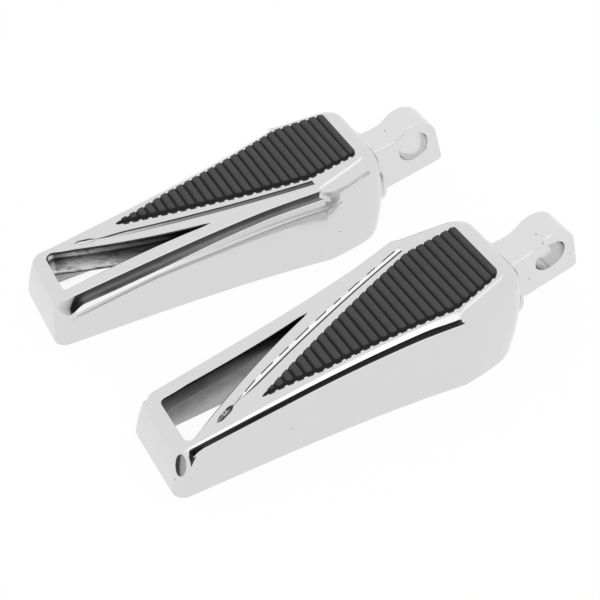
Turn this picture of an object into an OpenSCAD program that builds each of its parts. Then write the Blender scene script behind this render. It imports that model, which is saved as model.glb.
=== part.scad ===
// Pair of wedge-shaped foot pegs, laid side by side on a level floor.
// Each peg is a hollow casting with a triangular window, a ribbed rubber
// pad and a bolted steel lug with a cross bore for the bike's pivot pin.
// Millimetres, +Z up, +X toward the lugs, mounting end up.

/* [Casting] */
// Length of the top face along the peg
top_len = 96.3; // [90:0.1:104]
// Height of the top face over the floor at the outer end
outer_h = 13.6; // [11:0.1:17]
// Rise of the top face for each mm toward the lug
top_rise = 0.163; // [0.1:0.001:0.18]
// Half width of the top face at the outer end
top_half_outer = 10.9; // [9:0.1:12]
// Half width of the top face at the shoulder
top_half_shoulder = 16.4; // [14:0.1:18]
// Half width of the top face at the lug end
top_half_inner = 12.8; // [11.5:0.1:14]
// Distance of the shoulder from the lug end of the top face
shoulder_back = 19; // [16:0.1:26]
// Half width of the rim on the floor at the outer end
rim_half_outer = 13.6; // [12:0.1:15]
// Half width of the rim on the floor at the shoulder
rim_half_shoulder = 18.8; // [17:0.1:21]
// Half width of the rim on the floor at the lug end
rim_half_inner = 14.4; // [13.5:0.1:16]
// How far the rim stands out past the top face at the outer end
end_draft = 3.2; // [1:0.1:4]
// How far the rim stands out past the top face at the lug end
inner_draft = 6; // [2:0.1:7]
// Radius of the upright corners at the outer end
corner_r = 3.2; // [2:0.1:5]
// Radius of the upright corners at the lug end
inner_corner_r = 4.5; // [3:0.1:6]
// Radius of the rim's corners at the lug end
rim_corner_r = 9; // [4:0.1:11]
// How far the bevel beside the lug end stands out
bevel_out = 0.7; // [0:0.1:1]
// Thickness of the side walls
wall = 3; // [2.4:0.1:4]
// Thickness of the roof under the pad
roof = 5.2; // [4.6:0.1:6]
// Thickness of the wall that carries the lug
end_wall = 6; // [5:0.1:8]
// Chamfer along the edge of the top face
edge_chamfer = 0.5; // [0.2:0.1:1]

/* [Window] */
// Outer edge of the window along the peg
window_x = 2.95; // [2.5:0.05:4]
// Place of the window's sharp inner tip
window_tip_x = 46.7; // [40:0.1:50]
// Rail side of the window at its outer edge
window_rail_y = 6.8; // [6:0.1:8]
// Side of the window's inner tip
window_tip_y = 8.6; // [7.6:0.1:9.4]
// Arm side of the window at its outer edge
window_arm_y = 9.2; // [7:0.1:9.8]
// How far the arm's edge bows out from a straight line
window_bow = 1.3; // [0:0.1:2]
// Radius of the window's outer corner beside the arm
window_corner_r = 2; // [1:0.1:3]
// Height of the arm's lower edge over the floor
arm_foot = 8.8; // [6:0.1:10]
// Thickness of the rib under the arm
arm_wall = 3; // [2:0.1:4]

/* [Channels] */
// Depth of the side channels into the wall at the top face
channel_in = 0.6; // [0.4:0.1:1.2]
// Height of the channel on the rail side at the outer end
rail_channel_h = 3.7; // [3:0.1:5]
// Height of the channel on the rail side at the shoulder
rail_channel_end_h = 3.1; // [2:0.1:4]
// Height of the channel on the pad side at the outer end
pad_channel_h = 1.8; // [1.2:0.1:3]
// Height of the channel on the pad side at the shoulder
pad_channel_end_h = 2.9; // [1.2:0.1:3.5]
// Start of the channels from the outer end
channel_x = 0.1; // [0:0.1:1]
// End of the tall pocket where a channel starts
pocket_x = 2.9; // [2:0.1:4]
// Height of the tall pocket
pocket_h = 6.6; // [5:0.1:7.5]
// Outer end of the stepped line along the arm
line_x = 12; // [10:0.5:16]
// Side of the stepped line at its outer end
line_start_y = -7.4; // [-8:0.1:-7]
// Side of the stepped line at the shoulder
line_end_y = 12.1; // [11.8:0.1:12.4]
// Width of the stepped line along the arm
line_w = 1.5; // [0.8:0.1:2]
// Depth of the stepped line along the arm
line_depth = 0.9; // [0.4:0.1:1.2]

/* [Pad] */
// Place of the pad's tip
pad_tip_x = 24.4; // [22:0.1:28]
// Side of the pad's tip
pad_tip_y = -7.2; // [-8:0.1:-6]
// Side of the pad's arm edge at the shoulder
pad_arm_end_y = 9.9; // [9:0.1:10.5]
// Strip of the top face left between the pad and the lug end
pad_end_margin = 3.3; // [2.4:0.1:8]
// Margin of the top face left beside the pad
pad_margin = 3; // [2:0.1:4]
// Radius of the pad's corners
pad_corner_r = 1.8; // [1:0.1:3]
// Height of the rubber over the top face, ribs included
pad_h = 1.4; // [1.2:0.1:2]
// Height of the ribs alone
rib_h = 0.6; // [0.3:0.1:0.8]
// Slope of the pad's edge, from its foot in to the ribs
pad_edge = 1; // [0.5:0.1:1.5]
// Number of ribs
rib_count = 26; // [20:1:30]
// Width of a rib
rib_w = 1.7; // [0.8:0.1:2]
// Thickness of the steel plate that the rubber is bonded to
plate_t = 2; // [1.5:0.1:2.5]
// Diameter of the screws that hold the pad from below
pad_screw_d = 4; // [3:0.5:5]

/* [Lug] */
// Distance of the cross bore from the lug end of the top face
bore_reach = 19.55; // [18:0.05:22]
// Height of the cross bore over the floor
bore_z = 19.15; // [17:0.05:21]
// Diameter of the cross bore
bore_d = 9.6; // [9.5:0.1:10]
// Thickness of the lug
lug_t = 9.8; // [9.4:0.1:12]
// Radius of the lug's head around the bore
head_r = 8.3; // [7.8:0.1:9]
// Height of the lug's neck over the bore's centre
neck_up = 3.15; // [2:0.05:4]
// Reach of the lug's toe past the bore's centre
toe_reach = 9.75; // [8.5:0.05:11]
// Drop of the lug's toe under the bore's centre
toe_drop = 8.85; // [8.3:0.05:10]
// Radius of the scoop between the lug's neck and its head
scoop_r = 3.6; // [2:0.1:5]
// Diameter of the round collar between lug and casting
collar_d = 22.8; // [18:0.1:24]
// Thickness of the collar
collar_t = 1.2; // [1:0.1:4]
// Diameter of the boss on the casting
boss_d = 23.4; // [22:0.1:26]
// Diameter of the bolt that holds the lug
bolt_d = 6; // [5:0.5:6]
// Diameter of the locating pin
pin_d = 3; // [2:0.5:4]

/* [Pair] */
// How far the left peg lies back along the row
left_back = 5.7; // [0:0.1:10]
// Distance between the two pegs' centre lines at their outer ends
pair_gap = 61.8; // [50:0.1:80]
// Angle of the left peg to the right peg
left_yaw = 1.86; // [0:0.01:4]

/* [Hidden] */
$fn = 64;
tilt = atan(top_rise);
shoulder_x = top_len - shoulder_back;
pad_end_x = top_len - pad_end_margin;
bore_x = top_len + bore_reach;
// Clearance round bolts and screws and between plate and recess
fit = 0.2;
rim_x0 = -end_draft;
rim_x1 = top_len + inner_draft;
rim_shoulder_x = shoulder_x + 0.78 * end_draft;
// How full the outlines of top and rim stay between shoulder and lug end
top_fullness = 1.2;
rim_fullness = 1.45;
// Share of the flare that comes late, close to the shoulder, and how late
late_share = 0.56;
late_power = 3.5;
// Margin between the top's edge and the hollow under the roof
hollow_margin = 4.4;
// Radius of the hollow's outer corners
hollow_corner_r = 6;
// Distance of the first and the last rib from the pad's two ends
first_rib = 2.6;
last_rib = 1.2;
// Margin between the edge of the rubber and the steel plate under it
plate_margin = 1;
// Steel left over the plate's blind screw holes
blind_end = 0.4;
// Distance of the screws' ends from the top face
screw_gap = 0.6;
// Rings round the pad screws
screw_post_d = 10;
screw_post_h = 1.5;
screw_head_d = 2 * pad_screw_d;
screw_head_t = 0.6 * pad_screw_d;
screw_hex_d = 2.9;
screw_hex_h = 1.4;
// The bolt's axis runs along the slope through the middle of the lug's neck
axis_x = top_len + 8.7;
axis_z = bore_z - 4.75;
// Stations along that axis, zero at axis_x: the boss's face and the washers' seat
boss_face = -3.4;
seat = boss_face - end_wall - 4.9;
seat_d = 17;
// Distance of the locating pin from the bolt
pin_off = 7;
// How deep the locating pin sits in the casting and in the lug
pin_in_body = 4.6;
pin_in_lug = 1.8;
// How far the bolt reaches into the lug, short of the cross bore
bolt_reach = 7.5;
bolt_head_d = 10;
bolt_hex_d = 5.77;
bolt_hex_h = 3;
flat_washer_d = 12;
washer_t = 1.2;
lock_washer_d = 11;
lock_washer_t = 1.5;
lock_washer_slit = 0.8;
// Root of the lug's neck, inside the boss's plane, from the bore's centre
neck_back = axis_x + boss_face - 1.4 - bore_x;
// Middle of the pair's outer size, so the origin sits at its foot
mid_x = 58.692;
mid_y = 29.5623;

function mix(a, b, t) = a + (b - a) * t;
function clamp01(t) = max(0, min(1, t));
function top_z(x) = outer_h + top_rise * x;

// Half width of an outline that flares to the shoulder and then narrows
function flare(x, x0, xs, x1, w0, ws, w1, full) =
  x <= xs
    ? let (t = (x - x0) / (xs - x0))
      w0 + (ws - w0) * mix(t, pow(max(0, t), late_power), late_share)
    : mix(ws, w1, pow((x - xs) / (x1 - xs), full));

// Rounding of the upright corners at both ends
function corner_cut(d, r) = d >= r ? 0 : r - sqrt(max(0, r * r - (r - d) * (r - d)));

function top_half(x) =
  flare(x, 0, shoulder_x, top_len, top_half_outer, top_half_shoulder, top_half_inner, top_fullness);
function rim_half(x) =
  flare(x, rim_x0, rim_shoulder_x, rim_x1, rim_half_outer, rim_half_shoulder, rim_half_inner, rim_fullness);

// Stations along the peg, closer together at the rounded corners
STEPS = 30;
function station(i) =
  i < 6 ? corner_r * (1 - cos(i * 15))
  : i > STEPS - 6 ? top_len - rim_corner_r * (1 - cos((STEPS - i) * 15))
  : mix(corner_r, top_len - rim_corner_r, (i - 6) / (STEPS - 12));
// The lug end's corners are rounder at the rim than at the top
function corners(x, t) = corner_cut(x, corner_r)
  + mix(corner_cut(top_len - x, inner_corner_r), corner_cut(top_len - x, rim_corner_r), pow(t, 4));
function top_at(x) = top_half(x) - corners(x, 0);
function rim_x(x) = mix(rim_x0, rim_x1, x / top_len);

// Bulge of the side wall between top edge (0) and rim (1)
function bulge(t) = 1 - pow(1 - t, 1.5);
// Bevel under the top edge between shoulder and lug end, sharpest at its own depth
BEVEL_AT = 0.14;
function bevel(x, t) = bevel_out * clamp01((x - shoulder_x - 0.3) / 2.5)
  * (t < BEVEL_AT ? t / BEVEL_AT : pow((1 - t) / (1 - BEVEL_AT), 1.5));
// The lug end's wall stands steeper than the outer end's
function draft_power(x) = mix(0.62, 0.3, clamp01((x - shoulder_x) / (top_len - shoulder_x)));

// A point of the outer skin: station x, depth t from 0 (top) to 1 (floor)
function skin(x, t, inset, side) =
  let (z = top_z(x) * (1 - t))
  let (half = mix(top_half(x), rim_half(rim_x(x)), bulge(t)) - corners(x, t) + bevel(x, t))
  [mix(x, rim_x(x), pow(t, draft_power(x))), side * (half - inset), z];

DEPTHS = [0.05, 0.14, 0.25, 0.37, 0.5, 0.63, 0.76, 0.88, 0.97];
function half_ring(x, side) = concat(
  [[x, side * (top_at(x) - edge_chamfer), top_z(x)]],
  [for (t = DEPTHS) skin(x, t, 0, side)],
  [let (p = skin(x, 1, 0.6, side)) [p[0], p[1], 0]]);
function turned(v) = [for (i = [len(v) - 1:-1:0]) v[i]];
function ring(x) = concat(half_ring(x, 1), turned(half_ring(x, -1)));

module loft(rings) {
  m = len(rings[0]);
  n = len(rings);
  pts = [for (r = rings) for (p = r) p];
  sides = [for (i = [0:n - 2]) for (j = [0:m - 1])
    let (a = i * m + j, b = i * m + (j + 1) % m, c = a + m, d = b + m)
    each [[a, b, d], [a, d, c]]];
  // Ends are closed by strips between the two halves of a ring
  caps = [for (j = [0:m / 2 - 2]) let (k = m - 1 - j, e = (n - 1) * m)
    each [[j, k, j + 1], [k, k - 1, j + 1],
      [e + j, e + j + 1, e + k], [e + k, e + j + 1, e + k - 1]]];
  polyhedron(points = pts, faces = concat(sides, caps), convexity = 8);
}

module outer_skin() {
  loft([for (i = [0:STEPS]) ring(station(i))]);
}

// The hollow, open underneath: roof at the top, wall all round
function inner_half(x, t) =
  mix(top_half(x) - hollow_margin, rim_half(rim_x(x)) - wall, t)
  - corner_cut(max(0, x - 1.2), hollow_corner_r);
function inner_ring(x) =
  let (z1 = top_z(x) - roof, a = inner_half(x, 0.25), b = inner_half(x, 1))
  [[x, a, z1], [mix(x, rim_x(x), 0.6), mix(a, b, 0.65), z1 * 0.45], [rim_x(x) * 0.98 + 0.2, b, -1],
   [rim_x(x) * 0.98 + 0.2, -b, -1], [mix(x, rim_x(x), 0.6), -mix(a, b, 0.65), z1 * 0.45], [x, -a, z1]];
HOLLOW_X0 = window_x + 0.05;
HOLLOW_X1 = top_len - end_wall;
module hollow() {
  loft([for (i = [0:24]) inner_ring(mix(HOLLOW_X0, HOLLOW_X1, i / 24))]);
}

// Lays flat shapes into the sloping top face; z = 0 is the face itself
module on_top() {
  translate([0, 0, outer_h]) rotate([0, -tilt, 0]) children();
}
// Distance along the slope for a level distance
function up(x) = x / cos(tilt);

// Edge of the window on the arm side
function arm_edge(x) =
  let (t = clamp01((x - window_x) / (window_tip_x - window_x)))
  mix(-window_arm_y, window_tip_y, t) + window_bow * 4 * t * (1 - t);
ARM_STEPS = 10;
function arm_points(off) = [for (i = [0:ARM_STEPS])
  let (x = mix(window_x, window_tip_x, i / ARM_STEPS)) [up(x), arm_edge(x) - off]];

// Rounded corner between the window's outer edge and the arm
function window_corner(r) =
  let (a = atan((arm_edge(window_x + 2) - arm_edge(window_x)) / 2), y = -window_arm_y + r / tan(45 - a / 2))
  [for (k = [0:6]) let (u = 180 + k * (90 + a) / 6) [up(window_x + r + r * cos(u)), y + r * sin(u)]];

module window_shape() {
  polygon(concat(window_corner(window_corner_r), [for (i = [1:ARM_STEPS]) arm_points(0)[i]],
    [for (i = [5:-1:0]) let (x = mix(window_x, window_tip_x, i / 6))
      [up(x), mix(window_rail_y, window_tip_y, pow(i / 6, 3))]]));
}

// Rib that follows the window's arm edge
module arm_rib() {
  translate([0, 0, arm_foot]) linear_extrude(20)
    polygon(concat(arm_points(0), turned(arm_points(arm_wall)), [[window_x - 1, -window_arm_y]]));
}

// Outline of the top plate, drawn in by a margin
function plate_points(x0, x1, n, inset, side) = [for (i = [0:n])
  let (x = mix(x0, x1, i / n)) [up(x), side * (top_at(x) - inset)]];

// One stretch of a side channel, cut down to a depth below the top face
module channel_cut(side, x0, x1, n, h) {
  translate([0, 0, -h]) linear_extrude(h + 1)
    polygon(concat(plate_points(x0, x1, n, channel_in, side), turned(plate_points(x0, x1, n, -5, side))));
}

// A side channel: tall pocket at the corner, S-curved lip, then a long slot
CHANNEL_STEPS = 8;
module channel(side, h0, h1) {
  x1 = shoulder_x + 0.2;
  xc = pocket_x + 3.4;
  on_top() {
    channel_cut(side, channel_x, pocket_x, 3, pocket_h);
    for (i = [0:4])
      channel_cut(side, pocket_x - 0.1, mix(pocket_x, xc, (i + 1) / 5), 2,
        mix(h0, pocket_h, pow(1 - i / 5, 2) * 0.62));
    for (i = [0:CHANNEL_STEPS - 1])
      channel_cut(side, mix(xc, x1, i / CHANNEL_STEPS) - 0.1, mix(xc, x1, (i + 1) / CHANNEL_STEPS), 3,
        mix(h0, h1, (i + 0.5) / CHANNEL_STEPS));
  }
}

// Stepped line between window and pad
function line_at(t) = mix(line_x, shoulder_x + 0.1, t);
function line_y(t) = mix(line_start_y, line_end_y, t) + 1.2 * 4 * t * (1 - t);
LINE_STEPS = 12;
function line_points(off) = [for (i = [0:LINE_STEPS])
  let (t = i / LINE_STEPS) [up(line_at(t)), line_y(t) + off]];
module arm_line() {
  on_top() translate([0, 0, -line_depth]) linear_extrude(line_depth + 1)
    polygon(concat(line_points(line_w / 2), turned(line_points(-line_w / 2))));
}

// Outline of the pad: straight arm side, outer side along the top's edge
function pad_arm_y(x) = let (t = clamp01((x - pad_tip_x) / (shoulder_x - pad_tip_x)))
  min(mix(pad_tip_y, pad_arm_end_y, t) + 0.7 * 4 * t * (1 - t), top_half(x) - pad_margin - 0.6);
function pad_out_y(x) = let (t = clamp01((x - pad_tip_x) / 16))
  -mix(-pad_tip_y + 0.4, top_half(x) - pad_margin, t);
PAD_STEPS = 18;
// A drawn-in outline starts further from the sharp tip
function pad_x(i, g) = mix(pad_tip_x + max(0, -g) * 5.6, pad_end_x + g, i / PAD_STEPS);
module pad_shape(grow) {
  difference() {
    polygon(concat(
      [for (i = [0:PAD_STEPS]) let (x = pad_x(i, grow)) [up(x), pad_arm_y(x) + grow]],
      [for (i = [PAD_STEPS:-1:0]) let (x = pad_x(i, grow)) [up(x), pad_out_y(x) - grow]]));
    for (s = [-1, 1])
      pad_corner_cut(s, grow);
  }
}
module pad_corner_cut(s, grow) {
  x = up(pad_end_x + grow);
  y = (s > 0 ? pad_arm_y(pad_end_x + grow) : pad_out_y(pad_end_x + grow)) + s * grow;
  difference() {
    translate([x - pad_corner_r, s > 0 ? y - pad_corner_r : y - 1])
      square([pad_corner_r + 1, pad_corner_r + 1]);
    translate([x - pad_corner_r, y - s * pad_corner_r]) circle(r = pad_corner_r, $fn = 32);
  }
}

// Places of the three pad screws on the slope
function pad_mid(x) = [x, (pad_arm_y(x) + pad_out_y(x)) / 2];
PAD_SCREWS = [for (back = [shoulder_back + 27, shoulder_back + 11, end_wall + 7.8]) pad_mid(top_len - back)];

// Lays pieces on the bolt's axis, z along it toward the lug
module on_axis() {
  translate([axis_x, 0, axis_z]) rotate([0, -tilt, 0]) rotate([0, 90, 0]) children();
}

module body() {
  difference() {
    union() {
      difference() {
        union() {
          outer_skin();
          on_axis() translate([0, 0, boss_face - 4]) cylinder(d = boss_d, h = 4);
        }
        hollow();
      }
      intersection() {
        outer_skin();
        union() {
          arm_rib();
          screw_posts();
          bolt_post();
        }
      }
    }
    on_top() translate([0, 0, -30]) linear_extrude(40) window_shape();
    channel(1, rail_channel_h, rail_channel_end_h);
    channel(-1, pad_channel_h, pad_channel_end_h);
    arm_line();
    on_top() translate([0, 0, -plate_t]) linear_extrude(plate_t + 1) pad_shape(-plate_margin + fit);
    for (p = PAD_SCREWS)
      on_top() translate([up(p[0]), p[1], -12]) cylinder(d = pad_screw_d + 2 * fit, h = 12);
    on_axis() translate([0, 0, seat - 1]) cylinder(d = bolt_d + 2 * fit, h = boss_face - seat + 2);
    on_axis() translate([pin_off, 0, boss_face - 5]) cylinder(d = pin_d, h = 6);
  }
}

// Thick rings round the pad screws inside the hollow
module screw_posts() {
  for (p = PAD_SCREWS)
    on_top() translate([up(p[0]), p[1], -roof - screw_post_h])
      cylinder(d = screw_post_d, h = screw_post_h + 1);
}

// Flat seat for the bolt's washers on the inside of the end wall
module bolt_post() {
  on_axis() translate([0, 0, seat]) cylinder(d = seat_d, h = 4);
}

module lug() {
  difference() {
    union() {
      translate([0, lug_t / 2, 0]) rotate([90, 0, 0]) linear_extrude(lug_t) lug_profile();
      on_axis() translate([0, 0, boss_face]) cylinder(d = collar_d, h = collar_t);
    }
    translate([bore_x, 0, bore_z]) rotate([90, 0, 0]) cylinder(d = bore_d, h = lug_t + 2, center = true);
    on_axis() translate([0, 0, boss_face - 1]) cylinder(d = bolt_d, h = bolt_reach + 1.5);
    on_axis() translate([pin_off, 0, boss_face - 1]) cylinder(d = pin_d, h = 3);
    // Nothing of the lug reaches past the casting's boss
    on_axis() translate([0, 0, boss_face - 12]) cylinder(d = 60, h = 12);
  }
}

// Side view of the lug: neck, round head, square toe below
module lug_profile() {
  difference() {
    union() {
      translate([bore_x, bore_z]) circle(r = head_r);
      translate([bore_x, bore_z])
        polygon([[neck_back, -toe_drop - 0.221 * (toe_reach - neck_back)], [toe_reach, -toe_drop],
          [toe_reach + 1, -toe_drop + 1.3], [0.85 * head_r, 0.54 * head_r], [0.44 * head_r, 0.645 * head_r],
          [0, head_r], [-0.416 * head_r, 0.91 * head_r], [-0.92 * head_r, neck_up + 1],
          [neck_back + 2.4, neck_up], [neck_back, neck_up]]);
    }
    translate([bore_x - 0.92 * head_r - 2, bore_z + neck_up + 0.7 + scoop_r]) circle(r = scoop_r);
  }
}

module lug_bolt() {
  head_h = bolt_d;
  start = seat - washer_t - lock_washer_t;
  on_axis() difference() {
    union() {
      translate([0, 0, start - head_h]) cylinder(d = bolt_head_d, h = head_h);
      translate([0, 0, start]) cylinder(d = bolt_d, h = boss_face + bolt_reach - start);
    }
    translate([0, 0, start - head_h - 1]) cylinder(d = bolt_hex_d, h = bolt_hex_h + 1, $fn = 6);
  }
}
module flat_washer() {
  on_axis() translate([0, 0, seat - washer_t]) difference() {
    cylinder(d = flat_washer_d, h = washer_t);
    translate([0, 0, -1]) cylinder(d = bolt_d + 2 * fit, h = 4);
  }
}
module lock_washer() {
  on_axis() translate([0, 0, seat - washer_t - lock_washer_t]) difference() {
    cylinder(d = lock_washer_d, h = lock_washer_t);
    translate([0, 0, -1]) cylinder(d = bolt_d + 2 * fit, h = 4);
    rotate([0, 0, 40]) translate([0, -lock_washer_slit / 2, -1]) cube([8, lock_washer_slit, 4]);
  }
}
module lug_pin() {
  on_axis() translate([pin_off, 0, boss_face - pin_in_body])
    cylinder(d = pin_d, h = pin_in_body + pin_in_lug);
}

// Place of a rib, from the pad's tip to its lug end
function rib_x(i) = mix(pad_tip_x + first_rib, pad_end_x - last_rib, i / (rib_count - 1));
module pad() {
  on_top() {
    linear_extrude(pad_h - rib_h) pad_shape(0);
    for (i = [0:rib_count - 1])
      translate([up(rib_x(i)), 0, pad_h - rib_h - 0.1]) linear_extrude(rib_h + 0.1)
        intersection() {
          translate([-rib_w / 2, -top_half_shoulder]) square([rib_w, 2 * top_half_shoulder]);
          translate([-up(rib_x(i)), 0]) pad_shape(-pad_edge * 0.4);
        }
  }
}
module pad_plate() {
  difference() {
    on_top() translate([0, 0, -plate_t]) linear_extrude(plate_t) pad_shape(-plate_margin);
    for (p = PAD_SCREWS)
      on_top() translate([up(p[0]), p[1], -plate_t - 1])
        cylinder(d = pad_screw_d, h = plate_t - blind_end + 1);
  }
}
module pad_screws() {
  for (p = PAD_SCREWS)
    on_top() translate([up(p[0]), p[1], -roof - screw_post_h]) {
      cylinder(d = pad_screw_d, h = roof + screw_post_h - screw_gap);
      translate([0, 0, -screw_head_t]) difference() {
        cylinder(d = screw_head_d, h = screw_head_t);
        translate([0, 0, -1]) cylinder(d = screw_hex_d, h = screw_hex_h + 1, $fn = 6);
      }
    }
}

module right() {
  translate([-mid_x, -mid_y, 0]) children();
}
module left() {
  translate([-left_back - mid_x, pair_gap - mid_y, 0]) rotate([0, 0, -left_yaw])
    mirror([0, 1, 0]) children();
}

module right_body() { color("silver") right() body(); }
module right_pad() { color("dimgray") right() pad(); }
module right_pad_plate() { color("gray") right() pad_plate(); }
module right_pad_screws() { color("darkgray") right() pad_screws(); }
module right_lug() { color("lightgray") right() lug(); }
module right_lug_bolt() { color("gray") right() lug_bolt(); }
module right_lock_washer() { color("darkgray") right() lock_washer(); }
module right_flat_washer() { color("silver") right() flat_washer(); }
module right_lug_pin() { color("gray") right() lug_pin(); }
module left_body() { color("silver") left() body(); }
module left_pad() { color("dimgray") left() pad(); }
module left_pad_plate() { color("gray") left() pad_plate(); }
module left_pad_screws() { color("darkgray") left() pad_screws(); }
module left_lug() { color("lightgray") left() lug(); }
module left_lug_bolt() { color("gray") left() lug_bolt(); }
module left_lock_washer() { color("darkgray") left() lock_washer(); }
module left_flat_washer() { color("silver") left() flat_washer(); }
module left_lug_pin() { color("gray") left() lug_pin(); }

right_body();
right_pad();
right_pad_plate();
right_pad_screws();
right_lug();
right_lug_bolt();
right_lock_washer();
right_flat_washer();
right_lug_pin();
left_body();
left_pad();
left_pad_plate();
left_pad_screws();
left_lug();
left_lug_bolt();
left_lock_washer();
left_flat_washer();
left_lug_pin();
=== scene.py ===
"""A pair of chromed foot pegs on a pale floor: hollow wedge castings with a triangular
window, ribbed rubber pads and bolted lugs. Every piece is built in metres around the
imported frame; sizes below are in millimetres of one peg, x toward its lug, y toward its
rail side and z up from the floor."""

import math

import bmesh
import bpy
from mathutils import Matrix, Vector


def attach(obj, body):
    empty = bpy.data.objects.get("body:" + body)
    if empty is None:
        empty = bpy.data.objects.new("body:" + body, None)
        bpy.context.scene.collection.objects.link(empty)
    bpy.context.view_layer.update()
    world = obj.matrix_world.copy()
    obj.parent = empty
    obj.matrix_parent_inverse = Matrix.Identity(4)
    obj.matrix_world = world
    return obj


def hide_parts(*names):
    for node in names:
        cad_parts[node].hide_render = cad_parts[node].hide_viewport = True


bl_info = {
    "name": "Foot Peg Pair",
    "version": (1, 0, 0),
    "blender": (4, 5, 0),
    "location": "3D Viewport > Sidebar > Foot Pegs",
    "description": "Dresses the packed pair of foot pegs: castings, pads, lugs and stage",
    "category": "Object",
}

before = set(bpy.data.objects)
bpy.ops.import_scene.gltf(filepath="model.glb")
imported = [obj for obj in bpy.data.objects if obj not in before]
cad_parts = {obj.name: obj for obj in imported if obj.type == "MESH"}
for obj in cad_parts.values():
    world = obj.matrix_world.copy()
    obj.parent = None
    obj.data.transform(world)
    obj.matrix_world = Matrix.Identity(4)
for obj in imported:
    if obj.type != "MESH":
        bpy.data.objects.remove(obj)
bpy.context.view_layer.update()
MM = 0.001
ROOT = "root"
SIDES = ("right", "left")


# Small helpers


def to_linear(hex_colour):
    """An sRGB hex colour as linear red, green and blue."""
    parts = [int(hex_colour[i : i + 2], 16) / 255 for i in (1, 3, 5)]
    return [c / 12.92 if c <= 0.04045 else ((c + 0.055) / 1.055) ** 2.4 for c in parts]


def per_mm(size):
    """A texture scale that gives a feature of that many millimetres."""
    return 1 / (size * MM)


def mix(a, b, t):
    return a + (b - a) * t


def clamp01(t):
    return max(0.0, min(1.0, t))


def smooth(t):
    t = clamp01(t)
    return t * t * (3 - 2 * t)


def table_value(rows, x):
    """The value at x on straight lines between (x, value) rows."""
    if x <= rows[0][0]:
        return rows[0][1]
    for (x0, v0), (x1, v1) in zip(rows, rows[1:]):
        if x <= x1:
            return mix(v0, v1, (x - x0) / (x1 - x0))
    return rows[-1][1]


def deselect():
    if bpy.context.object and bpy.context.object.mode != "OBJECT":
        bpy.ops.object.mode_set(mode="OBJECT")
    bpy.ops.object.select_all(action="DESELECT")


def pick(*objects):
    """Selects these objects alone and makes the first one active."""
    deselect()
    for o in objects:
        o.select_set(True)
    bpy.context.view_layer.objects.active = objects[0]


def place(side, p):
    """A point of one peg, in millimetres, as a point of the row's frame in metres."""
    s = bpy.context.scene.peg_layout
    x, y, z = p
    if side == "left":
        turn = s.left_yaw
        y = -y
        x, y = x * math.cos(turn) + y * math.sin(turn), -x * math.sin(turn) + y * math.cos(turn)
        x, y = x - s.left_back, y + s.pair_gap
    return Vector(((x - s.mid_x) * MM, (y - s.mid_y) * MM, z * MM))


# The peg's forms


def top_z(x):
    c = bpy.context.scene.peg_casting
    return c.outer_h + c.top_rise * x


def flare(x, x0, xs, x1, w0, ws, w1, full):
    """Half width of an outline that flares to the shoulder and then narrows."""
    if x <= xs:
        t = max(0.0, (x - x0) / (xs - x0))
        return w0 + (ws - w0) * (0.44 * t + 0.56 * t**3.5)
    return mix(ws, w1, clamp01((x - xs) / (x1 - xs)) ** full)


def corner_cut(d, r):
    """What a corner of radius r takes off the half width at distance d from the end."""
    return 0.0 if d >= r else r - math.sqrt(max(0.0, r * r - (r - d) ** 2))


def rim_x(x):
    c = bpy.context.scene.peg_casting
    return mix(-c.end_draft, c.top_len + c.inner_draft, x / c.top_len)


# Half widths at the outer end, the shoulder and the lug end, of the top face and the rim
TOP_HALVES = (10.9, 16.4, 12.8)
RIM_HALVES = (13.6, 18.58, 14.4)


def top_half(x):
    c = bpy.context.scene.peg_casting
    return flare(x, 0, c.shoulder_x, c.top_len, *TOP_HALVES, 1.2)


def rim_half(x):
    c = bpy.context.scene.peg_casting
    return flare(x, -c.end_draft, c.shoulder_x + 2.5, c.top_len + c.inner_draft, *RIM_HALVES, 1.45)


def corners(x, t):
    """What the upright corners take off the half width; at the lug end they are rounder at
    the rim than at the top."""
    c = bpy.context.scene.peg_casting
    back = c.top_len - x
    return corner_cut(x, 3.2) + mix(corner_cut(back, 4.5), corner_cut(back, 9), t**4)


def bevel(x, t):
    """Bevel under the top edge between shoulder and lug end."""
    c = bpy.context.scene.peg_casting
    share = smooth((x - c.shoulder_x - 0.1) / 3)
    return c.bevel_out * share * (t / 0.14 if t < 0.14 else ((1 - t) / 0.86) ** 1.5)


def skin(x, v, t):
    """A point of the drafted outer skin: station x, side v from -1 to 1, depth t from 0 at
    the top edge to 1 at the floor."""
    c = bpy.context.scene.peg_casting
    half = mix(top_half(x), rim_half(rim_x(x)), 1 - (1 - t) ** 1.5) - corners(x, t) + bevel(x, t)
    power = mix(0.62, 0.3, clamp01((x - c.shoulder_x) / (c.top_len - c.shoulder_x)))
    return Vector((mix(x, rim_x(x), t**power), v * half, top_z(x) * (1 - t)))


# Depth of the side channel's ledge under the top face, as (station, depth): it is taller
# on the rail side, where it turns down at the outer corner in an S-curve
RAIL_LEDGE = [
    (0, 6.8), (1.6, 5.9), (3.0, 5.1), (4.9, 4.5), (6.6, 3.6), (7.8, 3.45), (17, 3.7), (29, 3.7),
    (47, 3.0), (62, 2.7), (77.3, 3.2)
]
PAD_LEDGE = [
    (2.8, 3.9), (3.9, 2.3), (5.2, 1.55), (6.8, 1.35), (22.6, 1.6), (43.6, 1.75), (65.8, 2.2), (75.7, 2.8),
    (77.3, 2.9)
]


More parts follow.
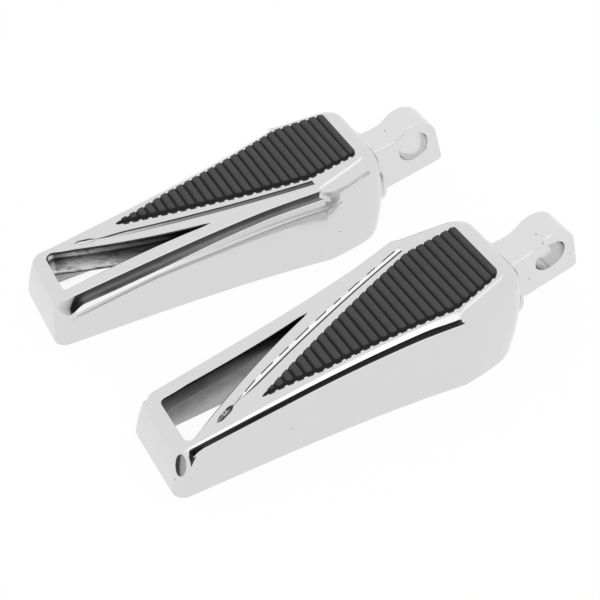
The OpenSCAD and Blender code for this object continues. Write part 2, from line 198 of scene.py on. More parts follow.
def stations():
    """Stations along a side, close together at the corners and at the channels' ends."""
    c = bpy.context.scene.peg_casting
    out = [3.2 * (1 - math.cos(math.radians(a))) for a in range(0, 90, 9)]
    x = 3.2
    while x < 9:
        out.append(x)
        x += 0.45
    while x < c.shoulder_x - 1.6:
        out.append(x)
        x += 1.9
    end = c.shoulder_x
    out += [end - 1.2, end - 0.7, end - 0.35, end - 0.1, end + 0.05, end + 0.6, end + 1.6]
    x = end + 3
    while x < c.top_len - 9.5:
        out.append(x)
        x += 1.7
    out += [c.top_len - 9 * (1 - math.cos(math.radians(a))) for a in range(90, -1, -6)]
    return sorted(set(round(v, 4) for v in out))


def outline():
    """Points round the casting as (station, side), counterclockwise from the outer end."""
    c = bpy.context.scene.peg_casting
    xs = stations()
    across = [-1 + 2 * i / 10 for i in range(1, 10)]
    pts = [(0.0, -v) for v in across]
    pts += [(x, -1.0) for x in xs]
    pts += [(c.top_len, v) for v in across]
    pts += [(x, 1.0) for x in reversed(xs)]
    return pts


# Where the pad side's channel starts, beside the corner's pocket
PAD_CHANNEL_X0 = 3.1
# Depth of the thin crease under the bright lip on the rail side
RAIL_LIP = [
    (0, 6.9), (4.2, 6.2), (16.8, 5.7), (27.6, 5.3), (46.8, 6.2), (67.9, 6.5), (77, 7.0), (84, 7.2)
]
# Depth of the soft bevel between shoulder and lug end
LUG_BEVEL = [(77.3, 2.5), (81.4, 3.3), (87.6, 3.6), (94.4, 4.0)]


def channel_amount(x, v):
    """How far the side channel is sunk at a place of the outline, from 0 to 1."""
    c = bpy.context.scene.peg_casting
    if x > c.shoulder_x or abs(v) < 0.99:
        return 0.0
    if v > 0:
        return clamp01((x - 0.1) / 3.6)
    return 1.0 if x > PAD_CHANNEL_X0 else 0.0


def profile(x, v, out):
    """The casting's profile from the top face down to the rim, at one place of its outline.
    out is the level direction away from the peg."""
    c = bpy.context.scene.peg_casting
    a = channel_amount(x, v)
    side_wall = abs(v) > 0.99
    h = table_value(RAIL_LEDGE if v > 0 else PAD_LEDGE, x) if side_wall and x <= c.shoulder_x else 2.4
    height = top_z(x)
    sunk = c.channel_in * a
    if v > 0:
        # On the rail side the plate over the channel comes out again toward the shoulder
        sunk *= mix(1.0, 0.45, smooth((x - 60) / 17))

    def from_top(inset, depth):
        p = skin(x, v, 0) - out * inset
        p.z = height - depth
        return p

    def on_skin(depth, inset=0.0):
        return skin(x, v, clamp01(depth / height)) - out * inset

    # Rounded top edge: soft at both ends
    past = smooth((x - c.shoulder_x) / 2.5)
    round_in = mix(c.edge_round, 2.1, past)
    round_down = mix(c.edge_round * 0.9, table_value(LUG_BEVEL, x), past)
    arc = []
    for k in range(10):
        u = math.radians(10 * k)
        arc.append(on_skin(round_down * (1 - math.cos(u)), round_in * (1 - math.sin(u))))
    # Channel: on the pad side a bright bevel leads into it, on the rail side a crisp edge
    if v < 0:
        grow = mix(0.35, 1.0, clamp01((x - 4) / 60))
        wide, deep = 1.25 * grow, 0.46 * grow
        # The channel's upper edge dips where it ends at the shoulder
        dip = 0.75 * smooth((x - 68) / 8)
        top_rows = [
            (wide + 0.12, 0.0), (wide - 0.02, 0.04), (0.1, (deep + dip) * 0.92), (0.0, deep + dip + 0.08)
        ]
    else:
        top_rows = [(0.22, 0.0), (0.1, 0.03), (0.02, 0.1), (0.0, 0.2)]
    channel = [from_top(sunk + i, d) for i, d in top_rows]
    start = top_rows[-1][1] + 0.02
    for share, inset in ((0.02, 0.02), (0.25, 0.12), (0.5, 0.22), (0.75, 0.3), (0.94, 0.3), (1.0, 0.16)):
        channel.append(from_top(sunk + inset, mix(start, h, share)))
    rows = [p.lerp(q, a) for p, q in zip(arc, channel)]
    rows.append(on_skin(mix(round_down + 0.05, h, a), inset=0.14 * a))
    upper = mix(round_down + 0.15, h + 0.1, a)
    rows.append(on_skin(upper))
    lip = table_value(RAIL_LIP, x) if v > 0 and side_wall else 6.6
    crease = (1 - smooth((x - 76) / 8)) * smooth((x - 3.5) / 2) if v > 0 and side_wall else 0.0
    rows.append(on_skin(mix(upper, lip, 0.5)))
    rows.append(on_skin(lip - 0.3))
    rows.append(on_skin(lip, inset=0.13 * crease))
    rows.append(on_skin(lip + 0.22))
    rows += [on_skin(mix(lip + 0.22, height, s)) for s in (0.1, 0.22, 0.35, 0.48, 0.61, 0.73, 0.84, 0.93)]
    rows.append(on_skin(height - 0.22, inset=0.03))
    rows.append(on_skin(height - 0.06, inset=0.14))
    rows.append(on_skin(height, inset=0.4))
    return rows


# Rows of the profile that make the channel's wall and ledge, the bright lip and its crease
CHANNEL_ROWS = range(4, 10)
LIP_ROWS = range(11, 12)
CREASE_ROW = 13


# Modelling helpers


def ring_skin(name, rings, capped=True):
    """A closed shell through rings of points: a circle is added, laid on the first ring, and
    extruded from ring to ring."""
    deselect()
    bpy.ops.mesh.primitive_circle_add(vertices=len(rings[0]), radius=1, fill_type="NOTHING")
    obj = bpy.context.object
    obj.name = obj.data.name = name
    obj.matrix_world = Matrix()
    for vert, p in zip(obj.data.vertices, rings[0]):
        vert.co = p
    bpy.ops.object.mode_set(mode="EDIT")
    bpy.ops.mesh.select_mode(type="VERT")
    bpy.ops.mesh.select_all(action="SELECT")
    first = {i: i for i in range(len(rings[0]))}
    place_of = dict(first)
    for ring in rings[1:]:
        bpy.ops.mesh.extrude_edges_move()
        bm = bmesh.from_edit_mesh(obj.data)
        bm.verts.index_update()
        new = {}
        for vert in bm.verts:
            if vert.select:
                old = [e.other_vert(vert) for e in vert.link_edges if not e.other_vert(vert).select]
                new[vert.index] = place_of[old[0].index]
                vert.co = ring[new[vert.index]]
        place_of = new
        bmesh.update_edit_mesh(obj.data)
    if capped:
        bpy.ops.mesh.edge_face_add()
        bm = bmesh.from_edit_mesh(obj.data)
        for vert in bm.verts:
            vert.select = vert.index in first
        bm.select_flush_mode()
        bmesh.update_edit_mesh(obj.data)
        bpy.ops.mesh.edge_face_add()
    bpy.ops.mesh.select_all(action="SELECT")
    bpy.ops.mesh.normals_make_consistent(inside=False)
    bpy.ops.object.mode_set(mode="OBJECT")
    return obj


def combine(obj, other, operation):
    """Cuts other out of obj, or joins it on, and removes it."""
    pick(obj)
    m = obj.modifiers.new("combine", "BOOLEAN")
    m.operation, m.solver, m.object = operation, "EXACT", other
    m.material_mode = "TRANSFER"
    bpy.ops.object.modifier_apply(modifier=m.name)
    data = other.data
    bpy.data.objects.remove(other)
    bpy.data.meshes.remove(data)


def offset_outline(pts, distance):
    """A closed flat outline, counterclockwise, moved outward by that distance."""
    out = []
    n = len(pts)
    for i, p in enumerate(pts):
        a, b = pts[i - 1], pts[(i + 1) % n]
        d0, d1 = Vector((p[0] - a[0], p[1] - a[1])), Vector((b[0] - p[0], b[1] - p[1]))
        n0, n1 = Vector((d0.y, -d0.x)).normalized(), Vector((d1.y, -d1.x)).normalized()
        m = n0 + n1
        m = m / max(0.35, m.length_squared / 2) if m.length > 1e-6 else n0
        out.append((p[0] + m.x * distance, p[1] + m.y * distance))
    return out


def finish_piece(obj, side, angle=32, replaces=(), weighted=True):
    """Lays a piece of the peg in the row's frame, smooths it and puts it on the body."""
    for vert in obj.data.vertices:
        vert.co = place(side, vert.co)
    pick(obj)
    bpy.ops.object.mode_set(mode="EDIT")
    bpy.ops.mesh.select_all(action="SELECT")
    bpy.ops.mesh.remove_doubles(threshold=0.000002)
    bpy.ops.mesh.normals_make_consistent(inside=False)
    bpy.ops.object.mode_set(mode="OBJECT")
    bpy.ops.object.shade_smooth_by_angle(angle=math.radians(angle))
    if weighted:
        m = obj.modifiers.new("flat_faces", "WEIGHTED_NORMAL")
        m.keep_sharp = True
        m.weight = 60
        bpy.ops.object.modifier_apply(modifier=m.name)
    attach(obj, ROOT)
    if replaces:
        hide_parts(*replaces)
    return obj


# Materials


def node(tree, kind, inputs=None, **settings):
    """Adds a node with its settings. Each input is a value, or the output linked to it."""
    n = tree.nodes.new(kind)
    for key, value in settings.items():
        setattr(n, key, value)
    for key, value in (inputs or {}).items():
        if isinstance(value, bpy.types.NodeSocket):
            tree.links.new(value, n.inputs[key])
        else:
            n.inputs[key].default_value = value
    return n


def new_material(name):
    """A material, with its node tree and the Object coordinates when it is a new one."""
    m = bpy.data.materials.get(name)
    if m:
        return m, None, None
    m = bpy.data.materials.new(name)
    m.use_nodes = True
    tree = m.node_tree
    tree.nodes.clear()
    return m, tree, node(tree, "ShaderNodeTexCoord").outputs["Object"]


def finish_material(tree, inputs):
    """Ends a material with its shader, joined to the output."""
    shader = node(tree, "ShaderNodeBsdfPrincipled", inputs)
    node(tree, "ShaderNodeOutputMaterial", {"Surface": shader.outputs[0]})


def rgba(hex_colour):
    return (*to_linear(hex_colour), 1)


def peg_axes(side):
    """For one peg, the weights and the offset that turn a point of the row's frame, in
    metres, into millimetres along the peg, across it and under its top face."""
    s = bpy.context.scene.peg_layout
    c = bpy.context.scene.peg_casting
    if side == "right":
        along, across = (1, 0, s.mid_x), (0, 1, s.mid_y)
    else:
        ct, st = math.cos(s.left_yaw), math.sin(s.left_yaw)
        x0, y0 = s.mid_x + s.left_back, s.mid_y - s.pair_gap
        along = (ct, -st, x0 * ct - y0 * st)
        across = (-st, -ct, -x0 * st - y0 * ct)
    rise = [c.top_rise * v for v in along]
    return {
        "along": ((along[0] / MM, along[1] / MM, 0), along[2]),
        "across": ((across[0] / MM, across[1] / MM, 0), across[2]),
        "under": ((rise[0] / MM, rise[1] / MM, -1 / MM), c.outer_h + rise[2]),
    }


def measured(tree, at, side, axis):
    """Millimetres along, across or under the top face of one peg, at the shaded point."""
    weights, offset = peg_axes(side)[axis]
    dot = node(tree, "ShaderNodeVectorMath", {0: at, 1: weights}, operation="DOT_PRODUCT")
    return node(tree, "ShaderNodeMath", {0: dot.outputs["Value"], 1: offset}, operation="ADD").outputs[0]


def slanted(tree, at, side, lean):
    """Millimetres along the peg, leaning by that much for each millimetre of depth."""
    under, along = measured(tree, at, side, "under"), measured(tree, at, side, "along")
    slant = node(tree, "ShaderNodeMath", {0: under, 1: lean, 2: along}, operation="MULTIPLY_ADD")
    return slant.outputs[0]


def ramp(tree, value, stops):
    """A colour that follows a value in millimetres; stops are (millimetres, hex colour)."""
    lo, hi = stops[0][0], stops[-1][0]
    share = node(tree, "ShaderNodeMapRange", {"Value": value, "From Min": lo, "From Max": hi})
    n = node(tree, "ShaderNodeValToRGB", {"Fac": share.outputs["Result"]})
    bar = n.color_ramp
    bar.elements[0].position, bar.elements[0].color = 0.0, rgba(stops[0][1])
    bar.elements[1].position, bar.elements[1].color = 1.0, rgba(stops[-1][1])
    for mm, colour in stops[1:-1]:
        bar.elements.new((mm - lo) / (hi - lo)).color = rgba(colour)
    return n.outputs["Color"]


def bright_chrome(side):
    """Decorative chrome over polished zinc: a clear mirror, gently wavy as die castings are,
    with a few pin-prick pits, and a painted dark reflection below the shoulder on the rail side."""
    m, tree, at = new_material("bright_chrome_" + side)
    if not tree:
        return m
    # Waves of the polished casting, about 14 mm long
    wave = node(tree, "ShaderNodeTexNoise", {"Vector": at, "Scale": per_mm(14), "Detail": 1.0})
    # Pits of up to 0.3 mm in the middle of cells of 11 mm, so that the skin meets few of
    # them; they are drawn a little coarse to show
    cells = node(tree, "ShaderNodeTexVoronoi", {"Vector": at, "Scale": per_mm(11), "Randomness": 1.0})
    pit = node(
        tree, "ShaderNodeMapRange",
        {"Value": cells.outputs["Distance"], "From Min": 0.012, "From Max": 0.028}
    ).outputs["Result"]
    height = node(tree, "ShaderNodeMath", {0: wave.outputs["Fac"], 1: pit}, operation="ADD")
    bump = node(
        tree, "ShaderNodeBump", {"Height": height.outputs[0], "Strength": 0.1, "Distance": 0.12 * MM}
    )
    # Roughness drifts a little where the plating is thin
    haze = node(tree, "ShaderNodeTexNoise", {"Vector": at, "Scale": per_mm(5), "Detail": 3.0})
    rough = node(tree, "ShaderNodeMapRange", {
        "Value": haze.outputs["Fac"], "From Min": 0.3, "From Max": 0.75, "To Min": 0.07, "To Max": 0.13
    })
    chrome = tuple(bpy.context.scene.peg_finish.chrome)
    tint = node(
        tree, "ShaderNodeMix", {"Factor": pit, "A": rgba("#8e8e8e"), "B": chrome}, data_type="RGBA"
    )
    # Painted reflection: a soft grey spot some 6 mm long where the bevel starts, a dark reflection
    # painted into the colour
    reflection_spot_at = (80.2, 5.3, 17.5)
    reflection_spot_size = (3.4, 2.3, 9)
    axes = [measured(tree, at, side, axis) for axis in ("along", "under", "across")]
    spot = node(tree, "ShaderNodeCombineXYZ", dict(enumerate(axes)))
    off = node(tree, "ShaderNodeVectorMath", {0: spot.outputs[0], 1: reflection_spot_at}, operation="SUBTRACT")
    shares = [1 / v for v in reflection_spot_size]
    scaled = node(tree, "ShaderNodeVectorMath", {0: off.outputs[0], 1: shares}, operation="MULTIPLY")
    far = node(tree, "ShaderNodeVectorMath", {0: scaled.outputs[0]}, operation="LENGTH")
    near = node(tree, "ShaderNodeMapRange", {
        "Value": far.outputs["Value"], "From Min": 0.35, "From Max": 1.05, "To Min": 0.55, "To Max": 0.0
    }, interpolation_type="SMOOTHSTEP")
    painted_reflection = node(tree, "ShaderNodeMix", {
        "Factor": near.outputs["Result"], "A": tint.outputs["Result"], "B": rgba("#8a8a8a")
    }, data_type="RGBA")
    finish_material(tree, {
        "Base Color": painted_reflection.outputs["Result"], "Metallic": 1.0, "Roughness": rough.outputs["Result"],
        "Normal": bump.outputs["Normal"]
    })
    return m


def painted_highlight_chrome():
    """Chrome on the narrow lips and steps, paler than the walls: a painted highlight."""
    m, tree, at = new_material("painted_highlight_chrome_lip")
    if not tree:
        return m
    haze = node(tree, "ShaderNodeTexNoise", {"Vector": at, "Scale": per_mm(5), "Detail": 2.0})
    # Near white colour: a painted highlight
    tint = node(tree, "ShaderNodeMix", {
        "Factor": haze.outputs["Fac"], "A": rgba("#f0f0f0"), "B": rgba("#fcfcfc")
    }, data_type="RGBA")
    bump = node(tree, "ShaderNodeBump", {
        "Height": haze.outputs["Fac"], "Strength": 0.06, "Distance": 0.1 * MM
    })
    finish_material(tree, {
        "Base Color": tint.outputs["Result"], "Metallic": 1.0, "Roughness": 0.08,
        "Normal": bump.outputs["Normal"]
    })
    return m


def crease_metal():
    """The thin crease under the lip: painted shade, grey in clouds."""
    m, tree, at = new_material("crease_painted_shade")
    if not tree:
        return m
    cloud = node(tree, "ShaderNodeTexNoise", {"Vector": at, "Scale": per_mm(3), "Detail": 2.0})
    tint = node(tree, "ShaderNodeMix", {
        "Factor": cloud.outputs["Fac"], "A": rgba("#5a5a5a"), "B": rgba("#8c8c8c")
    }, data_type="RGBA")
    finish_material(tree, {"Base Color": tint.outputs["Result"], "Metallic": 1.0, "Roughness": 0.3})
    return m


def painted_light_metal(name, side, axis, stops, roughness, drift_mm, drift, other=None, metallic=1.0):
    """Metal in a recess, duller and darker: painted shade and painted light, in a tone that
    changes along one of the peg's axes and drifts in clouds."""
    m, tree, at = new_material(name + "_" + side)
    if not tree:
        return m
    cloud = node(tree, "ShaderNodeTexNoise", {
        "Vector": at, "Scale": per_mm(drift_mm), "Detail": 4.0, "Roughness": 0.6
    }).outputs["Fac"]
    shift = node(tree, "ShaderNodeMapRange", {
        "Value": cloud, "From Min": 0.3, "From Max": 0.7, "To Min": -drift, "To Max": drift
    })
    place_mm = node(tree, "ShaderNodeMath", {
        0: measured(tree, at, side, axis), 1: shift.outputs["Result"]
    }, operation="ADD")
    colour = ramp(tree, place_mm.outputs[0], stops)
    if other:
        # A second ramp takes over along the peg, from one station to another
        x0, x1, lean, more = other
        slant = slanted(tree, at, side, lean)
        share = node(tree, "ShaderNodeMapRange", {
            "Value": slant, "From Min": x0, "From Max": x1
        }, interpolation_type="SMOOTHSTEP")
        colour = node(tree, "ShaderNodeMix", {
            "Factor": share.outputs["Result"], "A": ramp(tree, slant, more), "B": colour
        }, data_type="RGBA").outputs["Result"]
    bump = node(tree, "ShaderNodeBump", {"Height": cloud, "Strength": 0.2, "Distance": 0.15 * MM})
    finish_material(tree, {
        "Base Color": colour, "Metallic": metallic, "Roughness": roughness,
        "Normal": bump.outputs["Normal"]
    })
    return m


def inside_chrome(side):
    """As-cast inner walls: satin, in painted shade, dark under the top and paler below."""
    stops = [(0.3, "#202020"), (2.5, "#343434"), (6, "#565656"), (10, "#7c7c7c"), (13.5, "#a6a6a6")]
    return painted_light_metal("inner_wall_painted_shade", side, "under", stops, 0.3, 5, 0.9)


def rib_chrome(side):
    """The arm's inner wall: bands of painted reflection, dark and pale by depth, crossed by dark streaks.
    """
    m, tree, at = new_material("streaked_painted_reflection_" + side)
    if not tree:
        return m
    # Streaks of about 1 mm by 6 mm, along the peg
    stretch = node(tree, "ShaderNodeMapping", {
        "Vector": at, "Scale": (0.2, 0.6, 1.0), "Rotation": (0, math.radians(14), 0)
    })
    streak = node(tree, "ShaderNodeTexNoise", {
        "Vector": stretch.outputs[0], "Scale": per_mm(1.5), "Detail": 5.0, "Roughness": 0.65,
        "Distortion": 0.6
    }).outputs["Fac"]
    # Painted reflection: pale and dark bands at set depths under the top face
    stops = [(0.3, "#4a4a4a"), (1.0, "#c8c8c8"), (1.7, "#d8d8d8"), (2.4, "#3c3c3c")]
    stops += [(3.6, "#7c7c7c"), (6.5, "#c4c4c4"), (7.6, "#dcdcdc"), (8.4, "#4a4a4a")]
    band = ramp(tree, measured(tree, at, side, "under"), stops)
    dark = node(tree, "ShaderNodeMapRange", {
        "Value": streak, "From Min": 0.34, "From Max": 0.5, "To Min": 0.75, "To Max": 0.0
    })
    tint = node(tree, "ShaderNodeMix", {
        "Factor": dark.outputs["Result"], "A": band, "B": rgba("#222224")
    }, data_type="RGBA")
    bump = node(tree, "ShaderNodeBump", {"Height": streak, "Strength": 0.3, "Distance": 0.2 * MM})
    finish_material(tree, {
        "Base Color": tint.outputs["Result"], "Metallic": 1.0, "Roughness": 0.2,
        "Normal": bump.outputs["Normal"]
    })
    return m


def rail_channel_metal(side):
    """The rail side's channel in painted shade, paler downward, with a pale painted highlight on
    a facet of its own at its outer end."""
    stops = [(0.3, "#222222"), (1.2, "#383838"), (2.2, "#5e5e5e"), (3.0, "#8e8e8e")]
    stops += [(3.4, "#808080"), (3.8, "#3a3a3a")]
    facet = [(0, "#dcdcdc"), (4.6, "#b4b4b4"), (5.2, "#1c1c1c"), (7.4, "#222222")]
    end = (6.4, 9.5, 0.5, facet)
    return painted_light_metal("rail_channel_painted_shade", side, "under", stops, 0.4, 9, 0.2, end, 0.0)


def pad_channel_metal(side):
    """The pad side's channel in painted shade, near black, with a paler painted reflection along its
    middle toward the outer end.
    """
    stops = [(0.4, "#1c1c1c"), (0.75, "#6a6a6a"), (1.15, "#4c4c4c"), (1.5, "#1c1c1c")]
    dark = [(0, "#202020"), (40, "#202020")]
    end = (40.0, 22.0, 0.5, dark)
    return painted_light_metal("pad_channel_painted_shade", side, "under", stops, 0.4, 6, 0.08, end, 0.0)


def pocket_metal(side):
    """The tall pocket at the outer corner of the pad side: near black with painted shade, and a grey
    facet.
    """
    m, tree, at = new_material("pocket_painted_shade_" + side)
    if not tree:
        return m
    stops = [(-1, "#161616"), (0.7, "#1c1c1c"), (0.95, "#8e8e8e"), (2, "#a8a8a8")]
    shade = ramp(tree, slanted(tree, at, side, 0.27), stops)
    cloud = node(tree, "ShaderNodeTexNoise", {"Vector": at, "Scale": per_mm(2), "Detail": 2.0})
    rough = node(
        tree, "ShaderNodeMapRange", {"Value": cloud.outputs["Fac"], "To Min": 0.3, "To Max": 0.45}
    )
    finish_material(tree, {"Base Color": shade, "Roughness": rough.outputs["Result"]})
    return m


def line_floor(side):
    """Floor of the arm line: a painted highlight at the facet, painted shade darker toward the shoulder.
    """
    stops = [(11, "#e6e6e6"), (22, "#c8c8c8"), (40, "#808080"), (77, "#4a4a4a")]
    drift_mm, drift = 4, 2.0
    if side == "right":
        # On the right casting only the facet shows it, in painted bands of highlight and shade
        stops = [(11, "#cccccc"), (13.2, "#3a3a3a"), (14.6, "#b0b0b0"), (16.0, "#2a2a2a")]
        stops += [(17.6, "#1c1c1c")]
        drift_mm, drift = 1.2, 1.5
    return painted_light_metal("arm_line_painted_light", side, "along", stops, 0.35, drift_mm, drift, metallic=0.0)


def lug_chrome():
    """Chromed forging: a little softer than the casting, with faint grinding streaks."""
    m, tree, at = new_material("chromed_forged_lug")
    if not tree:
        return m
    # Grinding streaks run along the lug, about 1 mm apart
    stretch = node(tree, "ShaderNodeMapping", {"Vector": at, "Scale": (0.12, 1.0, 1.0)})
    streak = node(tree, "ShaderNodeTexNoise", {
        "Vector": stretch.outputs[0], "Scale": per_mm(1.2), "Detail": 2.0
    })
    cells = node(tree, "ShaderNodeTexVoronoi", {"Vector": at, "Scale": per_mm(3.2), "Randomness": 1.0})
    speck = node(
        tree, "ShaderNodeMapRange",
        {"Value": cells.outputs["Distance"], "From Min": 0.04, "From Max": 0.12}
    )
    bump = node(tree, "ShaderNodeBump", {
        "Height": streak.outputs["Fac"], "Strength": 0.12, "Distance": 0.1 * MM
    })
    tint = node(tree, "ShaderNodeMix", {
        "Factor": speck.outputs["Result"], "A": rgba("#8a8a8c"), "B": rgba("#dededf")
    }, data_type="RGBA")
    finish_material(tree, {
        "Base Color": tint.outputs["Result"], "Metallic": 1.0, "Roughness": 0.14,
        "Normal": bump.outputs["Normal"]
    })
    return m


def moulded_rubber():
    """Moulded black rubber: matt, very slightly grey, with a fine mould grain."""
    m, tree, at = new_material("moulded_black_rubber")
    if not tree:
        return m
    worn = node(tree, "ShaderNodeTexNoise", {"Vector": at, "Scale": per_mm(8), "Detail": 2.0})
    rubber = tuple(bpy.context.scene.peg_finish.rubber)
    tint = node(tree, "ShaderNodeMix", {
        "Factor": worn.outputs["Fac"], "A": rgba("#2c2c2c"), "B": rubber
    }, data_type="RGBA")
    grain = node(tree, "ShaderNodeTexNoise", {"Vector": at, "Scale": per_mm(0.35), "Detail": 3.0})
    bump = node(tree, "ShaderNodeBump", {
        "Height": grain.outputs["Fac"], "Strength": 0.25, "Distance": 0.06 * MM
    })
    finish_material(tree, {
        "Base Color": tint.outputs["Result"], "Roughness": 0.5, "Specular IOR Level": 0.5,
        "Normal": bump.outputs["Normal"]
    })
    return m


def groove_rubber():
    """The rubber in the grooves and down the pad's edge, deep black with painted shade."""
    m, tree, at = new_material("groove_rubber_painted_shade")
    if not tree:
        return m
    grain = node(tree, "ShaderNodeTexNoise", {"Vector": at, "Scale": per_mm(0.35), "Detail": 3.0})
    tint = node(tree, "ShaderNodeMix", {
        "Factor": grain.outputs["Fac"], "A": rgba("#060606"), "B": rgba("#121212")
    }, data_type="RGBA")
    bump = node(tree, "ShaderNodeBump", {
        "Height": grain.outputs["Fac"], "Strength": 0.2, "Distance": 0.05 * MM
    })
    finish_material(tree, {
        "Base Color": tint.outputs["Result"], "Roughness": 0.6, "Specular IOR Level": 0.3,
        "Normal": bump.outputs["Normal"]
    })
    return m


def zinc_steel():
    """Zinc-plated steel of plate, screws, bolt and washers: satin grey with fine grain."""
    m, tree, at = new_material("zinc_plated_steel")
    if not tree:
        return m
    grain = node(tree, "ShaderNodeTexNoise", {"Vector": at, "Scale": per_mm(0.8), "Detail": 4.0})
    rough = node(tree, "ShaderNodeMapRange", {
        "Value": grain.outputs["Fac"], "From Min": 0.3, "From Max": 0.7, "To Min": 0.25, "To Max": 0.42
    })
    tint = node(tree, "ShaderNodeMix", {
        "Factor": grain.outputs["Fac"], "A": rgba("#9b9b9e"), "B": rgba("#b9b9bb")
    }, data_type="RGBA")
    bump = node(tree, "ShaderNodeBump", {
        "Height": grain.outputs["Fac"], "Strength": 0.15, "Distance": 0.05 * MM
    })
    finish_material(tree, {
        "Base Color": tint.outputs["Result"], "Metallic": 1.0, "Roughness": rough.outputs["Result"],
        "Normal": bump.outputs["Normal"]
    })
    return m


# Sizes and colours


class PegLayout(bpy.types.PropertyGroup):
    left_back: bpy.props.FloatProperty(
        name="Left peg set back",
        description="How far the left peg lies back along the row, in millimetres", default=5.7
    )
    pair_gap: bpy.props.FloatProperty(
        name="Pair gap",
        description="Distance between the pegs' centre lines at their outer ends, in millimetres",
        default=61.8
    )
    left_yaw: bpy.props.FloatProperty(
        name="Left peg's angle", description="Angle of the left peg to the right peg",
        default=math.radians(1.86), subtype="ANGLE"
    )
    mid_x: bpy.props.FloatProperty(
        name="Middle along", description="Middle of the pair along the pegs, in millimetres",
        default=58.692
    )
    mid_y: bpy.props.FloatProperty(
        name="Middle across", description="Middle of the pair across the pegs, in millimetres",
        default=29.5623
    )


class PegCasting(bpy.types.PropertyGroup):
    top_len: bpy.props.FloatProperty(
        name="Top length", description="Length of the top face, in millimetres", default=96.3
    )
    outer_h: bpy.props.FloatProperty(
        name="Outer height", description="Height of the top face at the outer end, in millimetres",
        default=13.6
    )
    top_rise: bpy.props.FloatProperty(
        name="Rise", description="Rise of the top face for each millimetre toward the lug", default=0.163
    )
    shoulder_x: bpy.props.FloatProperty(
        name="Shoulder", description="Place of the shoulder along the top face, in millimetres",
        default=77.3
    )
    end_draft: bpy.props.FloatProperty(
        name="Outer draft",
        description="How far the rim stands past the top face at the outer end, in millimetres",
        default=3.2
    )
    inner_draft: bpy.props.FloatProperty(
        name="Lug end draft",
        description="How far the rim stands past the top face at the lug end, in millimetres", default=6.0
    )
    bevel_out: bpy.props.FloatProperty(
        name="Lug end bevel",
        description="How far the bevel beside the lug end stands out, in millimetres", default=0.7
    )
    channel_in: bpy.props.FloatProperty(
        name="Channel depth", description="Depth of the side channels, in millimetres", default=0.6
    )
    edge_round: bpy.props.FloatProperty(
        name="Edge radius",
        description="Rounding of the top face's edge at the outer end, in millimetres", default=1.5
    )


class PegPad(bpy.types.PropertyGroup):
    rib_count: bpy.props.IntProperty(
        name="Ribs", description="Number of cross ribs on the pad", default=26
    )
    rib_share: bpy.props.FloatProperty(
        name="Rib share", description="Share of the rib spacing that a rib fills", default=0.54
    )
    height: bpy.props.FloatProperty(
        name="Pad height", description="Height of the ribs' tops over the casting, in millimetres",
        default=1.4
    )
    groove: bpy.props.FloatProperty(
        name="Groove depth", description="Depth of the grooves between the ribs, in millimetres",
        default=0.75
    )


class PegFinish(bpy.types.PropertyGroup):
    chrome: bpy.props.FloatVectorProperty(
        name="Chrome", description="Colour of the chrome plating", size=4, subtype="COLOR",
        default=rgba("#d9d9d9")
    )
    rubber: bpy.props.FloatVectorProperty(
        name="Rubber", description="Colour of the worn rubber", size=4, subtype="COLOR",
        default=rgba("#363636")
    )


class PegStage(bpy.types.PropertyGroup):
    floor: bpy.props.FloatVectorProperty(
        name="Floor", description="Colour of the floor", size=4, subtype="COLOR", default=rgba("#f4f4f4")
    )
    lens: bpy.props.FloatProperty(
        name="Lens", description="Focal length of the camera, in millimetres", default=71.589,
        unit="CAMERA"
    )


# The casting


# The window: its ends along the peg, the places of rail and arm at its outer end and of
# its tip, how far the arm's edge bows, and its corners' radius
WINDOW_X0, WINDOW_X1 = 2.95, 46.7
WINDOW_RAIL, WINDOW_ARM, WINDOW_TIP = 6.8, 9.2, 8.6
WINDOW_BOW = 1.3
WINDOW_CORNER = 1.7


def arm_edge(x):
    """The arm's edge of the window at station x."""
    t = (x - WINDOW_X0) / (WINDOW_X1 - WINDOW_X0)
    return mix(-WINDOW_ARM, WINDOW_TIP, t) + WINDOW_BOW * 4 * t * (1 - t)


def window_top(n_arm=22, n_rail=16):
    """The window's outline in the top face, counterclockwise, as (x, y)."""
    x0, x1, rail, arm, tip = WINDOW_X0, WINDOW_X1, WINDOW_RAIL, WINDOW_ARM, WINDOW_TIP
    slope = math.degrees(math.atan((arm_edge(x0 + 2) - arm_edge(x0)) / 2))
    r = WINDOW_CORNER
    cy = -arm + r / math.tan(math.radians(45 - slope / 2))
    pts = []
    for k in range(9):
        u = math.radians(180 + k * (90 + slope) / 8)
        pts.append((x0 + r + r * math.cos(u), cy + r * math.sin(u)))
    first = pts[-1][0] + 0.8
    for i in range(n_arm):
        x = mix(first, x1, i / n_arm)
        pts.append((x, arm_edge(x)))
    pts.append((x1, tip))
    for i in range(n_rail - 1, -1, -1):
        x = mix(x0 + 1.1, x1, i / n_rail)
        pts.append((x, mix(rail, tip, ((x - x0) / (x1 - x0)) ** 3)))
    pts.append((x0 + 0.35, rail - 0.3))
    pts.append((x0, rail - 1.1))
    return pts


def top_point(x, y, down=0.0):
    return Vector((x, y, top_z(x) - down))


